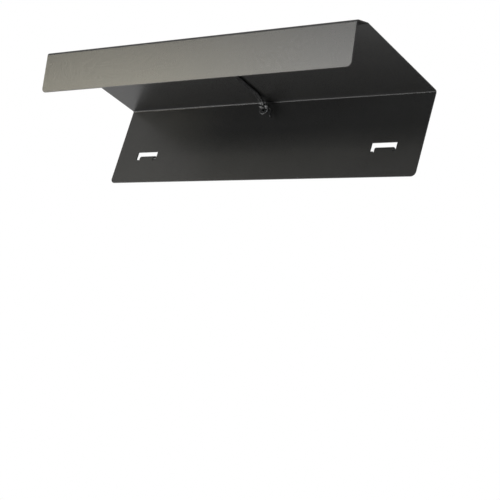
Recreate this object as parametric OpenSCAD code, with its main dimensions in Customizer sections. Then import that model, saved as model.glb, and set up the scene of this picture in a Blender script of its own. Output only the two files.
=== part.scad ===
// Music stand light: a bent steel hood that hooks over the top edge of a stand's desk,
// with a light channel behind its front lip and a twin lead that leaves through the panel.
// X runs along the hood, Y points to the back of the stand and Z points up.
// The origin is on the panel's back face, in the middle, level with the sills of the hooks' windows.

/* [Hood] */
// Length of the hood, end to end
hood_w = 355.6; // [320:0.1:420]
// Thickness of the steel sheet
sheet_t = 1.2; // [0.8:0.1:1.6]
// Height of the panel, from its bottom edge to the underside of the roof
panel_h = 79; // [74:0.5:100]
// Depth of the roof, from the panel's front face to the bevel
roof_d = 110; // [95:0.5:150]
// Length of the bevel between roof and lip
bevel_l = 14.2; // [13.5:0.1:20]
// Slope of the bevel below level
bevel_a = 20; // [10:1:30]
// Length of the front lip
lip_l = 37.8; // [30:0.1:50]
// Lean of the lip, with its lower edge towards the back
lip_a = 12.4; // [0:0.1:20]
// Inner radius of the bends
bend_r = 1.2; // [0.6:0.1:1.6]
// Radius of the sheet's free corners
corner_r = 4.5; // [2:0.1:8]

/* [Hooks] */
// Height of the windows' sills above the panel's bottom edge
sill_h = 24.3; // [20:0.1:30]
// Distance between the middles of the two hooks
hook_span = 278; // [220:1:300]
// Width of a hook tongue
tongue_w = 18; // [12:0.5:22]
// Gap inside a hook, for the desk's edge
hook_gap = 4.4; // [4.2:0.1:5]
// Height of a hook's inside above the sill, where the desk's edge comes to rest
hook_rise = 3.6; // [2.6:0.1:5]
// Straight end of a hook below its curl
hook_leg = 2; // [1:0.1:5]
// Width of the window that a tongue is pressed out of
window_w = 26; // [25:0.5:34]
// Height of the window above its sill
window_h = 8.2; // [7:0.1:12]
// Width of the relief slit beside a tongue
slit_w = 1; // [0.6:0.1:1.5]
// Depth of the relief slits below the sill
slit_d = 1; // [0.6:0.1:1.5]

/* [Light channel] */
// Distance of the aluminium channel's ends from the hood's ends
channel_inset = 17.8; // [13:0.1:40]
// Width of the channel
channel_w = 11.6; // [11:0.1:12]
// Height of the channel
channel_h = 7; // [6.5:0.1:9]
// Wall of the channel
channel_t = 1; // [0.8:0.1:1.3]
// Thickness of the tape under the channel
tape_t = 0.6; // [0.3:0.1:1]
// Width of the tape
tape_w = 9; // [6:0.5:10]
// Thickness of the strip board
board_t = 1; // [0.8:0.1:1.6]
// Width of the strip board
board_w = 8; // [7:0.5:8.5]
// Number of light emitters
chip_n = 24; // [12:1:32]
// Length, width and height of an emitter
chip_size = [3.5, 2.8, 0.8]; // [0.5:0.1:4]
// Number of series resistors
resistor_n = 8; // [4:1:12]
// Length, width and height of a resistor
resistor_size = [3.2, 1.6, 0.6]; // [0.5:0.1:4]
// Thickness of the diffuser
diffuser_t = 1.2; // [0.8:0.1:1.5]
// Depth of the diffuser's side walls
diffuser_d = 3; // [2:0.1:3.5]
// Thickness of an end cap's plate
cap_t = 2; // [1:0.1:4]
// Depth of an end cap's plug in the channel
cap_plug = 4; // [2:0.5:6]

/* [Lead] */
// Diameter of one insulated core of the twin lead
core_d = 2.4; // [2:0.1:2.6]
// Diameter of a stripped core
wire_d = 0.8; // [0.5:0.1:1.2]
// Diameter of a solder joint
solder_d = 2; // [1.4:0.1:2.4]
// Outer diameter of the grommet
grommet_d = 11; // [10.4:0.1:12]
// Diameter of the cord hole in the panel
hole_d = 8.4; // [7.6:0.1:9]
// Place of the cord hole along the hood, from its middle
hole_x = -6; // [-7:0.1:-4]
// Drop of the cord hole's middle below the underside of the roof
hole_drop = 7; // [6.8:0.1:9]
// Thickness of each of the grommet's flanges
flange_t = 1.5; // [1:0.1:2]
// Place of the lead under the roof, from the hood's middle
lead_x = -2.4; // [-4:0.1:-1]
// Length of the lead's saddle clip
clip_l = 8; // [6:0.5:12]
// Width of the saddle clip
clip_w = 13; // [10:0.5:16]
// Distance of the saddle clip from the panel's back
clip_y = 76; // [66:1:84]
// Width of the cable tie
tie_w = 2.5; // [2:0.1:3]
// Thickness of the cable tie
tie_t = 1; // [0.8:0.1:1.2]

/* [Hank] */
// Whole loops in each of the hank's two layers
hank_loops = 3; // [2:1:4]
// Half length of the hank's innermost loop
hank_half = 44; // [40:1:50]
// Half height that sets the innermost loop's round ends
hank_rise = 18; // [16:0.5:20]
// Half height of the innermost loop at the waist
hank_waist = 2.6; // [2.2:0.1:4]
// Step from one loop to the next
hank_step = 4.1; // [4:0.1:4.4]
// Step from the front layer to the back layer
hank_layer = 5.6; // [5.4:0.1:6.4]
// Width of the strap that ties the hank
strap_w = 10; // [6:0.5:14]
// Thickness of the strap
strap_t = 1.4; // [1:0.1:2]

/* [Switch] */
// Length of the in-line switch
switch_l = 56; // [52:0.5:64]
// Height of the switch
switch_h = 20; // [19:0.5:24]
// Thickness of each half of its case
half_t = 6; // [5.8:0.1:8]
// Wall of the case
case_t = 1.6; // [1.2:0.1:2]
// Length of the rocker's window
rocker_l = 16; // [15:0.5:20]
// Width of the rocker's window
rocker_w = 9; // [8:0.5:9.5]
// Swing of the rocker between its two places
rocker_swing = 18; // [10:1:20]
// Height of the rocker's pivot above the case's joint
pivot_h = 3.2; // [3:0.1:3.6]
// Diameter of the rocker's pin
pin_d = 2; // [1.6:0.1:2.4]
// Diameter of a case screw's shank
screw_d = 2; // [1.6:0.1:2.2]
// Diameter of a case screw's head
screw_head = 3.6; // [3:0.1:4]

/* [Plug] */
// Diameter of the plug's barrel
barrel_d = 5.5; // [5:0.1:6]
// Length of the barrel outside the grip
barrel_l = 9.5; // [8:0.5:12]
// Wall of the barrel
barrel_t = 0.5; // [0.3:0.1:0.6]
// Diameter of the hole for the socket's pin
pin_hole = 2.1; // [1.7:0.1:2.5]
// Diameter of the grip
grip_d = 9.6; // [8.5:0.1:11]
// Length of the grip
grip_l = 14; // [12:0.5:18]
// Length of the tapered strain relief
relief_l = 10; // [8:0.5:14]

/* [Hidden] */
$fn = 48;
eps = 0.01;
fit = 0.1;
bend_steps = 6;

// The sheet's middle line in side view, from the panel's bottom to the lip's edge
roof_z = panel_h - sill_h;
panel_foot = [-sheet_t / 2, -sill_h];
roof_back = [-sheet_t / 2, roof_z + sheet_t / 2];
roof_front = [-sheet_t - roof_d, roof_z + sheet_t / 2];
lip_top = roof_front - bevel_l * [cos(bevel_a), sin(bevel_a)];
lip_foot = lip_top + lip_l * [sin(lip_a), -cos(lip_a)];
mid_r = bend_r + sheet_t / 2;

// Middle of the bevel's inner face, its two directions, and the channel's layers above it
bevel_in = [sin(bevel_a), -cos(bevel_a)];
bevel_back = [cos(bevel_a), sin(bevel_a)];
bevel_mid = (roof_front + lip_top) / 2 + bevel_in * sheet_t / 2;
channel_l = hood_w - 2 * channel_inset;
board_z = tape_t + channel_t;
chip_z = board_z + board_t;
channel_top = tape_t + channel_h;
inner_w = channel_w - 2 * channel_t;
wire_gap = core_d;
notch_w = 2 * core_d + 0.6;
lead_z = channel_top - 2.6;

// The grommet and the lead's section
hole_z = roof_z - hole_drop;
lead_w = 2 * core_d;
lead_lobe = core_d / 2;
grommet_bore = lead_w + 0.3;
grommet_back = flange_t;

// Route of the lead inside the hood: out of the channel, along the roof under the clip, and down to the hole
lead_top = roof_z - lead_lobe - fit;
lead_start = bevel_mid + bevel_back * channel_w / 2 + bevel_in * lead_z;
roof_end = roof_front[0];
roof_run = [lead_start, lead_start + 5 * bevel_back, [roof_end + 11, lead_top - 0.2],
    [roof_end + 19, lead_top], [-clip_y, lead_top], [-34, lead_top], [-27, lead_top - 0.1]];
// Each point of the way down: its share of the step aside, its place before the panel's back, its height
way_down = [[0.05, -21, lead_top - 0.4], [0.2, -16, lead_top - 1.1], [0.36, -11.5, hole_z + 3.7],
    [0.55, -8, hole_z + 2], [0.84, -4.9, hole_z + 0.5], [1, -2, hole_z], [1, grommet_back, hole_z]];
step_aside = hole_x - lead_x;
inner_route = concat([for (q = roof_run) [lead_x, q[0], q[1]]],
    [for (q = way_down) [lead_x + q[0] * step_aside, q[1], q[2]]]);

// The hank and the switch hang behind the panel, this far below the hole
hank_z = hole_z - 25.7;
switch_y = 30.8;

// Route of the free lead from the grommet into the switch
drop_route = [[hole_x, grommet_back, hole_z], [hole_x, 7, hole_z], [hole_x, 13, hole_z - 0.3],
    [hole_x + 0.7, 19.4, hole_z - 2.1], [hole_x + 1.8, 25, hole_z - 5.7], [hole_x + 2.6, 28.6, hole_z - 11.1],
    [-4.4, 30, hank_z + 8.6], [-8.4, 30.6, hank_z + 3.8],
    [-14.6, switch_y, hank_z + 0.8], [-23, switch_y, hank_z], [-33, switch_y, hank_z],
    [-42, switch_y, hank_z], [-46, switch_y, hank_z]];

// The hank hangs in the plane of X and Z, drawn in at its waist
hank_x = 0;
hank_y = 15.4;
hank_rings = 24;
hank_from = 128;
hank_to = 52;
hank_turn = 360 * 2 * hank_loops + hank_from - hank_to;
hank_n = round(hank_rings * hank_turn / 360);
hank_swell = 0.25;
waist_reach = 24;
climb_turn = 90;
turn_back = 0.15;

// The switch lies along X behind the hank
lead_in = 4;
switch_x = drop_route[len(drop_route) - 1][0] + lead_in - switch_l / 2;
switch_z = hank_z;
switch_end = switch_x - switch_l / 2;
screw_x = switch_l / 2 - 8;
screw_y = switch_h / 2 - 4.6;

// The plug hangs from the end of the tail
plug_at = [66, hank_y + hank_layer, hank_z + 12];

// Helpers for routes and tubes
function unit(v) = v / norm(v);
function smooth(t) = t * t * (3 - 2 * t);
function ramp(t, from, to) = smooth(min(1, max(0, (t - from) / (to - from))));
function spline(a, b, c, d, t) = 0.5 * (2 * b + (c - a) * t + (2 * a - 5 * b + 4 * c - d) * t * t
    + (3 * b - 3 * c + d - a) * t * t * t);
function at(list, i) = i < 0 ? 2 * list[0] - list[1]
    : i >= len(list) ? 2 * list[len(list) - 1] - list[len(list) - 2] : list[i];
function route(list, steps) = concat([for (i = [0 : len(list) - 2], k = [0 : steps - 1])
    spline(at(list, i - 1), list[i], list[i + 1], at(list, i + 2), k / steps)], [list[len(list) - 1]]);
function tangent(p, i) = i == 0 ? unit(p[1] - p[0])
    : i == len(p) - 1 ? unit(p[i] - p[i - 1]) : unit(p[i + 1] - p[i - 1]);
function square_to(v, t) = unit(v - (v * t) * t);
function run_length(p) = len(p) < 2 ? 0 : [for (i = [1 : len(p) - 1]) norm(p[i] - p[i - 1])]
    * [for (i = [1 : len(p) - 1]) 1];

// Outline of the twin lead: two round cores with a groove between them
twin_outline = [for (side = [1, -1], a = [-150 : 60 : 150])
    side * lead_lobe * [1 + cos(a), sin(a)]];
// Plain outline with the lead's width and thickness, for the loops
flat_outline = [for (a = [0 : 60 : 300]) [abs(cos(a)) > 0.9 ? lead_w / 2 * cos(a) : lead_lobe * sign(cos(a)),
    lead_lobe * sign(round(sin(a)))]];

// A tube of one section along p; across gives the direction of the section's width at each point
module tube(p, across, outline) {
    n = len(outline);
    rings = [for (i = [0 : len(p) - 1]) let (t = tangent(p, i), w = square_to(across[i], t), h = cross(t, w),
        q = p[i]) each [for (o = outline) q + o[0] * w + o[1] * h]];
    last = (len(p) - 1) * n;
    sides = [for (i = [0 : len(p) - 2], k = [0 : n - 1]) let (a = i * n + k, b = i * n + (k + 1) % n)
        each [[a, b + n, b], [a, a + n, b + n]]];
    half = n / 2;
    first_end = concat([for (h = [0, half], k = [1 : half - 2]) [h, h + k, h + k + 1]],
        [[0, half - 1, half], [0, half, n - 1]]);
    last_end = [for (f = first_end) [last + f[0], last + f[2], last + f[1]]];
    polyhedron(points = rings, faces = concat(sides, first_end, last_end));
}

// Sheet metal: the middle line's points with their left-hand normals, rounded at its corners
function left_of(v) = [-v[1], v[0]];
function bend(a, b, c) = let (u = unit(a - b), v = unit(c - b), half = acos(u * v) / 2,
    hub = b + unit(u + v) * mid_r / sin(half), first = b + u * mid_r / tan(half) - hub,
    from = atan2(first[1], first[0]), side = sign(cross(b - a, c - b)), turn = side * (180 - 2 * half))
    [for (i = [0 : bend_steps]) let (g = from + turn * i / bend_steps, d = [cos(g), sin(g)])
    [hub + mid_r * d, -side * d]];
sheet_line = concat([[panel_foot, left_of(unit(roof_back - panel_foot))]],
    bend(panel_foot, roof_back, roof_front), bend(roof_back, roof_front, lip_top),
    bend(roof_front, lip_top, lip_foot), [[lip_foot, left_of(unit(lip_foot - lip_top))]]);
sheet_outline = concat([for (q = sheet_line) q[0] + q[1] * sheet_t / 2],
    [for (i = [len(sheet_line) - 1 : -1 : 0]) sheet_line[i][0] - sheet_line[i][1] * sheet_t / 2]);

// A side view in Y and Z drawn out along X
module along(length) {
    translate([-length / 2, 0, 0]) rotate([90, 0, 90]) linear_extrude(length) children();
}

// Cutter that rounds one free corner of the sheet, whose corner is at the origin
module corner_cut(side) {
    deep = 6 * sheet_t;
    translate([0, deep / 2, 0]) rotate([90, 0, 0]) linear_extrude(deep) difference() {
        translate([side > 0 ? -corner_r : -1, -1]) square(corner_r + 1);
        translate([-side * corner_r, corner_r]) circle(corner_r);
    }
}

// Frame on the bevel's inner face: X along the channel, Z away from the sheet
module on_bevel() {
    translate([0, bevel_mid[0], bevel_mid[1]]) rotate([180 + bevel_a, 0, 0]) children();
}

// Frame of the switch: X along the lead, Z out of the rocker's side
module in_switch() {
    translate([switch_x, switch_y, switch_z]) rotate([-90, 0, 0]) children();
}

// Frame of the plug: Z along its axis, towards its tip
module in_plug() {
    translate(plug_at) rotate([180, 0, 0]) children();
}

// Side view of a hook tongue: its upright root, the curl over the desk's edge and its straight end
module tongue_view() {
    curl_r = hook_gap / 2 + sheet_t;
    curl_z = hook_rise - hook_gap / 2;
    root_z = -slit_d - sheet_t;
    translate([hook_gap / 2, curl_z]) intersection() {
        difference() {
            circle(curl_r);
            circle(hook_gap / 2);
        }
        translate([-curl_r, 0]) square([2 * curl_r, curl_r]);
    }
    translate([hook_gap, curl_z - hook_leg]) square([sheet_t, hook_leg + eps]);
    translate([-sheet_t, root_z]) square([sheet_t, curl_z - root_z + eps]);
}

module hood() color("#2b2b2a") {
    difference() {
        along(hood_w) polygon(sheet_outline);
        for (side = [-1, 1]) {
            translate([side * hood_w / 2, -sheet_t / 2, -sill_h]) corner_cut(side);
            translate([side * hood_w / 2, lip_foot[0], lip_foot[1]]) rotate([lip_a, 0, 0]) corner_cut(side);
            translate([side * hook_span / 2, -2 * sheet_t, 0]) {
                translate([-window_w / 2, 0, 0]) cube([window_w, 3 * sheet_t, window_h]);
                slit_l = tongue_w + 2 * slit_w;
                translate([-slit_l / 2, 0, -slit_d]) cube([slit_l, 3 * sheet_t, 2 * slit_d]);
            }
        }
        translate([hole_x, sheet_t, hole_z]) rotate([90, 0, 0]) cylinder(d = hole_d, h = 3 * sheet_t);
    }
    for (side = [-1, 1])
        translate([side * hook_span / 2, 0, 0]) along(tongue_w) tongue_view();
}

module channel_tape() color("#d8d6cf")
    on_bevel() translate([-channel_l / 2, -tape_w / 2, 0]) cube([channel_l, tape_w, tape_t]);

module led_channel() color("#b9bcc0") on_bevel() difference() {
    translate([-channel_l / 2, -channel_w / 2, tape_t]) cube([channel_l, channel_w, channel_h]);
    translate([-channel_l, -inner_w / 2, board_z]) cube([2 * channel_l, inner_w, channel_h]);
    translate([lead_x - notch_w / 2, -channel_w, lead_z - lead_lobe - 0.3])
        cube([notch_w, channel_w, channel_h]);
}

board_l = channel_l - 2 * cap_plug - 4;
chip_pitch = board_l / chip_n;
module led_board() color("#e9e9e4")
    on_bevel() translate([-board_l / 2, -board_w / 2, board_z]) cube([board_l, board_w, board_t]);

module led_chips() color("#f4e9b8") on_bevel()
    for (i = [0 : chip_n - 1])
        translate([(i - (chip_n - 1) / 2) * chip_pitch, 0, chip_z + chip_size[2] / 2])
            cube(chip_size, center = true);

resistor_pitch = board_l / resistor_n;
module led_resistors() color("#222222") on_bevel()
    for (i = [0 : resistor_n - 1])
        translate([(i - (resistor_n - 1) / 2) * resistor_pitch, board_w / 2 - resistor_size[1] / 2 - 0.4,
            chip_z + resistor_size[2] / 2]) cube(resistor_size, center = true);

module diffuser() color("#eef1f2") on_bevel() {
    cover_l = channel_l - 2 * cap_plug;
    cover_w = inner_w - 2 * fit;
    hollow_w = cover_w - 2 * diffuser_t;
    difference() {
        translate([-cover_l / 2, -cover_w / 2, channel_top - diffuser_d])
            cube([cover_l, cover_w, diffuser_d]);
        translate([-cover_l, -hollow_w / 2, -diffuser_t]) cube([2 * cover_l, hollow_w, channel_top]);
        translate([lead_x - notch_w / 2, -channel_w, 0])
            cube([notch_w, channel_w, channel_top - diffuser_t]);
    }
}

module end_cap(side) on_bevel() {
    translate([side * (channel_l + cap_t) / 2, 0, tape_t + channel_h / 2])
        cube([cap_t, channel_w, channel_h], center = true);
    plug_w = inner_w - 2 * fit;
    plug_h = channel_h - channel_t - fit;
    translate([side * (channel_l - cap_plug + fit) / 2, 0, channel_top - plug_h / 2])
        cube([cap_plug - fit, plug_w, plug_h], center = true);
}

module end_cap_left() color("#1d1d1d") end_cap(-1);

module end_cap_right() color("#1d1d1d") end_cap(1);

module board_wires() color("#c7803d") on_bevel()
    for (side = [-1, 1]) {
        reach = channel_w / 2 - board_w / 2 + 1.6;
        translate([lead_x + side * wire_gap / 2, -channel_w / 2, lead_z]) {
            rotate([-90, 0, 0]) cylinder(d = wire_d, h = reach);
            translate([0, reach, 0]) sphere(d = wire_d);
            translate([0, reach, chip_z - lead_z]) cylinder(d = wire_d, h = lead_z - chip_z);
        }
    }

module solder_joints() color("#c9ccd0") on_bevel()
    for (side = [-1, 1])
        translate([lead_x + side * wire_gap / 2, -board_w / 2 + 1.6, chip_z]) difference() {
            intersection() {
                sphere(d = solder_d);
                translate([0, 0, solder_d / 2]) cube(solder_d, center = true);
            }
            cylinder(d = wire_d, h = solder_d);
        }

module cord_clip() color("#232323") translate([lead_x, -clip_y, roof_z]) {
    rest = core_d + 0.2;
    difference() {
        translate([-clip_w / 2, -clip_l / 2, -rest - 1.4]) cube([clip_w, clip_l, rest + 1.4]);
        translate([-lead_w / 2 - 0.2, -clip_l, -rest]) cube([lead_w + 0.4, 2 * clip_l, rest + 1]);
    }
}

inner_path = route(inner_route, 3);
module inner_lead() color("#141414")
    tube(inner_path, [for (q = inner_path) [1, 0, 0]], twin_outline);

// The cable tie goes round the lead before the grommet; its head is on the right, and its end hangs down
tie_i = 3 * len(roof_run) + 11;
tie_at = inner_path[tie_i];
tie_ahead = tangent(inner_path, tie_i);
tie_across = square_to([1, 0, 0], tie_ahead);
tie_up = cross(tie_across, tie_ahead);
tie_room = 0.1;
tie_head = [3.5, 4.2, 4];
tie_side = lead_w / 2 + tie_room + tie_t;
tie_line = route([for (q = [[0, 0], [2.2, -1.2], [4.4, -3.6], [5.8, -6.4], [6.6, -9], [7.1, -11.2]])
    q + [tie_side + tie_head[0] - fit, 0]], 3);
tie_n = len(tie_line) - 1;
tie_normal = [for (i = [0 : tie_n]) left_of(tangent(tie_line, i)) * tie_t / 2];
module cord_tie() color("#181818")
    multmatrix([for (k = [0 : 2]) [tie_across[k], tie_ahead[k], tie_up[k], tie_at[k]]]) {
        difference() {
            cube([2 * tie_side, tie_w, core_d + 2 * (tie_room + tie_t)], center = true);
            cube([lead_w + 2 * tie_room, 2 * tie_w, core_d + 2 * tie_room], center = true);
        }
        translate([tie_side - fit, 1 - tie_head[1], -tie_head[2] / 2]) cube(tie_head);
        translate([0, tie_w / 2, 0]) rotate([90, 0, 0]) linear_extrude(tie_w)
            polygon(concat(tie_line + tie_normal, [for (i = [tie_n : -1 : 0]) tie_line[i] - tie_normal[i]]));
    }

module grommet() color("#161616")
    translate([hole_x, 0, hole_z]) rotate([90, 0, 0]) rotate_extrude() difference() {
        translate([grommet_bore / 2, -flange_t])
            square([(grommet_d - grommet_bore) / 2, sheet_t + 2 * flange_t]);
        translate([hole_d / 2 - fit, -fit / 4]) square([grommet_d, sheet_t + fit / 2]);
    }

drop_path = route(drop_route, 3);
drop_n = len(drop_path) - 1;
function drop_turn(t) = ramp(t, 0.3, 0.7);
module cord_drop() color("#141414")
    tube(drop_path, [for (i = [0 : drop_n]) let (s = drop_turn(i / drop_n)) [1 - s, s, 0]], twin_outline);

// The switch's case, seen from its rocker's side
module case_plan(inset) {
    offset_l = switch_l - 2 * inset;
    offset_h = switch_h - 2 * inset;
    round_r = 6 - inset;
    for (x = [-1, 1], y = [-1, 1])
        translate([x * (offset_l / 2 - round_r), y * (offset_h / 2 - round_r)]) circle(round_r);
    square([offset_l, offset_h - 2 * round_r], center = true);
    square([offset_l - 2 * round_r, offset_h], center = true);
}

module lead_hole() {
    rotate([0, 90, 0]) linear_extrude(2 * switch_l, center = true)
        square([lead_w + 0.2, core_d + 0.2], center = true);
}

module case_screw_places() {
    for (side = [-1, 1])
        translate([side * screw_x, -screw_y, 0]) children();
}

module switch_base() color("#1b1b1b") in_switch() difference() {
    union() {
        difference() {
            translate([0, 0, -half_t]) linear_extrude(half_t) case_plan(0);
            translate([0, 0, -half_t + case_t]) linear_extrude(half_t) case_plan(case_t);
        }
        translate([0, 0, -half_t + eps]) case_screw_places() cylinder(d = screw_head + 2, h = half_t - 0.3);
    }
    lead_hole();
    case_screw_places() {
        translate([0, 0, -2 * half_t]) cylinder(d = screw_d + 2 * fit, h = 3 * half_t);
        translate([0, 0, -half_t - 1]) cylinder(d = screw_head + 2 * fit, h = 1 + case_t);
    }
}

// Blocks under the cover that carry the rocker's pin
boss_w = 2.6;
boss_gap = rocker_w / 2 + 0.5;
pin_l = 2 * (boss_gap + boss_w) - 0.8;
module switch_cover() color("#1b1b1b") in_switch() difference() {
    union() {
        difference() {
            linear_extrude(half_t) case_plan(0);
            translate([0, 0, -case_t]) linear_extrude(half_t) case_plan(case_t);
        }
        for (side = [-1, 1])
            translate([-pin_d, side * (boss_gap + boss_w / 2) - boss_w / 2, pivot_h - pin_d])
                cube([2 * pin_d, boss_w, half_t - case_t - pivot_h + pin_d + eps]);
        case_screw_places() cylinder(d = screw_head + 1, h = half_t - eps);
    }
    lead_hole();
    translate([-rocker_l / 2, -boss_gap, -eps]) cube([rocker_l, 2 * boss_gap, 2 * half_t]);
    translate([0, 0, pivot_h]) rotate([90, 0, 0])
        cylinder(d = pin_d + 0.04, h = pin_l + 2 * fit, center = true);
    case_screw_places() translate([0, 0, -1]) cylinder(d = screw_d + 0.02, h = half_t - 0.6);
}

// Side view of the rocker about its pivot: a dished top, and a nose below for the contact
rocker_half = rocker_l / 2 - 0.7;
rocker_view = [[-rocker_half, 5.4], [0, 4.2], [rocker_half, 5.4], [rocker_half - 0.3, 1.2], [1.6, -1.6],
    [1, -2.8], [-1, -2.8], [-1.6, -1.6], [-rocker_half + 0.3, 1.2]];
module switch_rocker() color("#161616") in_switch()
    translate([0, 0, pivot_h]) rotate([0, rocker_swing / 2, 0]) rotate([90, 0, 0]) difference() {
        linear_extrude(rocker_w, center = true) polygon(rocker_view);
        cylinder(d = pin_d + 0.1, h = 2 * rocker_w, center = true);
    }

module rocker_pin() color("#b5b8bb") in_switch() translate([0, 0, pivot_h])
    rotate([90, 0, 0]) cylinder(d = pin_d, h = pin_l, center = true);

// The spring leaf lies under the rocker's nose, on two posts of the terminals
leaf_t = 0.4;
leaf_z = pivot_h - 2.8 - 0.3 - leaf_t;
leaf_l = 18;
module contact_spring() color("#c98d4b") in_switch()
    translate([-leaf_l / 2, -2, leaf_z]) cube([leaf_l, 4, leaf_t]);

terminal_l = 6;
module switch_terminals() color("#c9a24b") in_switch()
    for (side = [-1, 1])
        translate([side * (leaf_l / 2 - 1), 0, 0]) {
            translate([-0.6, -2, -half_t + case_t]) cube([1.2, 4, half_t - case_t + leaf_z]);
            translate([side > 0 ? 0 : -terminal_l, -2, -half_t + case_t]) cube([terminal_l, 4, 0.8]);
        }

through_y = core_d / 2 + 2.4;
module through_wire() color("#181818") in_switch()
    translate([0, through_y, -half_t + case_t + core_d / 2]) rotate([0, 90, 0])
        cylinder(d = core_d, h = switch_l - 2 * case_t - 2 * fit, center = true);

module switch_screws() color("#a9acb0") in_switch() case_screw_places() {
    translate([0, 0, -half_t + case_t - 1.5]) cylinder(d = screw_head, h = 1.5);
    translate([0, 0, -half_t + case_t - eps]) cylinder(d = screw_d, h = 2 * half_t - case_t - 1.8);
}

// The hank's two layers spiral in and out again, and step back half way
function hank_u(turn) = norm([turn / 360 - hank_turn / 720, turn_back]);
function hank_tall(x, u) = let (pull = exp(-pow(x / waist_reach, 2)))
    ((1 - pull) * hank_rise + pull * hank_waist + u) * (1 + hank_swell * (1 - pull));
function hank_point(turn) = let (g = hank_from - turn, u = hank_step * hank_u(turn),
    x = (hank_half + u) * cos(g), climb = ramp(turn - hank_turn / 2, -climb_turn / 2, climb_turn / 2))
    [hank_x + x, hank_y + hank_layer * climb, hank_z + hank_tall(x, u) * sin(g)];
hank_path = [for (i = [0 : hank_n]) hank_point(hank_turn * i / hank_n)];
hank_end = hank_path[hank_n];
run_out = 6;

// The free lead from the switch turns back on itself and runs to the hank's first loop
turn_x = switch_end - run_out;
link_route = concat([[switch_end + lead_in, switch_y, switch_z], [switch_end, switch_y, switch_z]],
    [[turn_x, switch_y, switch_z], [turn_x - 11, switch_y - 2.3, hank_z + 4]],
    [[turn_x - 16, (switch_y + hank_y) / 2, hank_z + 14], [turn_x - 11, hank_y + 2.2, hank_z + 24]],
    [[turn_x, hank_y, hank_z + 28], [turn_x + 16, hank_y, hank_z + 29], [turn_x + 40, hank_y, hank_z + 29]],
    [hank_path[0] - run_out * tangent(hank_path, 0), hank_path[0]]);
link_path = route(link_route, 3);
module cord_link() color("#141414")
    tube(link_path, [for (q = link_path) [0, 1, 0]], twin_outline);

module cord_hank() color("#141414")
    tube(hank_path, [for (q = hank_path) [0, 1, 0]], flat_outline);

// The strap goes round the hank's waist, whose lower strands lie half a turn further in
strap_r = 2;
waist_edge = 0.7 * strap_w;
strap_high = hank_z + hank_tall(waist_edge, hank_step * hank_u(0)) + lead_lobe + 0.3;
strap_low = hank_z - hank_tall(waist_edge, hank_step * hank_u(180)) - lead_lobe - 0.3;
strap_front = hank_y - core_d - 0.6;
strap_back = hank_y + hank_layer + core_d + 0.6;
module strap_view(grow) {
    deep = strap_back - strap_front - 2 * strap_r;
    tall = strap_high - strap_low - 2 * strap_r;
    round_r = strap_r + grow;
    translate([strap_front + strap_r, strap_low + strap_r]) {
        for (y = [0, deep], z = [0, tall])
            translate([y, z]) circle(round_r);
        translate([-round_r, 0]) square([deep + 2 * round_r, tall]);
        translate([0, -round_r]) square([deep, tall + 2 * round_r]);
    }
}

module hank_tie() color("#202020") translate([hank_x, 0, 0]) along(strap_w) difference() {
    strap_view(strap_t);
    strap_view(0);
}

tail_route = concat([hank_end, hank_end + run_out * tangent(hank_path, hank_n)],
    [for (q = [[50, 28.8], [58.4, 25.6], [64, 20.4]]) [q[0], plug_at[1], hank_z + q[1]]],
    [plug_at + [0, 0, lead_w], plug_at]);
tail_path = route(tail_route, 3);
module cord_tail() color("#141414")
    tube(tail_path, [for (q = tail_path) [0, 1, 0]], twin_outline);

// Profiles of the plug, turned about its axis; the barrel's neck sits in the grip, up to its shoulder
barrel_in = 4;
shoulder = 0.3;
neck_d = barrel_d - 0.4;
plug_face = relief_l + grip_l;
module plug_body() color("#171717") in_plug() difference() {
    rotate_extrude() polygon([[0, 0], [lead_w / 2 + 0.8, 0], [grip_d / 2 - 1.2, relief_l],
        [grip_d / 2, relief_l + 1], [grip_d / 2, plug_face - 1], [grip_d / 2 - 1, plug_face],
        [0, plug_face]]);
    translate([0, 0, plug_face - barrel_in]) cylinder(d = neck_d + 0.02, h = 2 * barrel_in);
}

module plug_barrel() color("#c4c6c8") in_plug() translate([0, 0, plug_face]) difference() {
    union() {
        translate([0, 0, -barrel_in]) cylinder(d = neck_d, h = barrel_in + barrel_l);
        translate([0, 0, shoulder]) cylinder(d = barrel_d, h = barrel_l - shoulder);
    }
    translate([0, 0, -2 * barrel_in]) cylinder(d = barrel_d - 2 * barrel_t, h = 3 * barrel_in + barrel_l);
}

contact_t = 0.3;
module plug_insulator() color("#d9c34a") in_plug() translate([0, 0, plug_face - barrel_in]) difference() {
    cylinder(d = barrel_d - 2 * barrel_t - 0.02, h = barrel_in + barrel_l + 0.5);
    translate([0, 0, -1]) cylinder(d = pin_hole + 2 * contact_t + 0.02, h = barrel_in + barrel_l + 3);
}

module plug_contact() color("#c9ccd0") in_plug() translate([0, 0, plug_face - barrel_in]) difference() {
    cylinder(d = pin_hole + 2 * contact_t, h = barrel_in + barrel_l - 0.6);
    translate([0, 0, -1]) cylinder(d = pin_hole, h = barrel_in + barrel_l + 1);
}

// Least clear distance between loops of the hank, measured on its points, and the lengths of the lead
loop_far = round(hank_rings / 2);
function strand_gap(p, a, b) = let (d = [b[0] - a[0], b[2] - a[2]], v = [p[0] - a[0], p[2] - a[2]],
    q = a + (b - a) * min(1, max(0, v * d / (d * d))))
    max(abs(q[1] - p[1]) - lead_w, norm([q[0] - p[0], q[2] - p[2]]) - core_d);
hank_gap = min([for (i = [0 : hank_n], j = [i + loop_far : 1 : hank_n - 1])
    strand_gap(hank_path[i], hank_path[j], hank_path[j + 1])]);
echo("hank least gap", hank_gap);
echo("lead lengths", [for (p = [inner_path, drop_path, link_path, hank_path, tail_path]) run_length(p)]);

hood();
channel_tape();
led_channel();
led_board();
led_chips();
led_resistors();
diffuser();
end_cap_left();
end_cap_right();
board_wires();
solder_joints();
cord_clip();
inner_lead();
cord_tie();
grommet();
cord_drop();
switch_base();
switch_cover();
switch_rocker();
rocker_pin();
contact_spring();
switch_terminals();
through_wire();
switch_screws();
cord_link();
cord_hank();
hank_tie();
cord_tail();
plug_body();
plug_barrel();
plug_insulator();
plug_contact();
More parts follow.
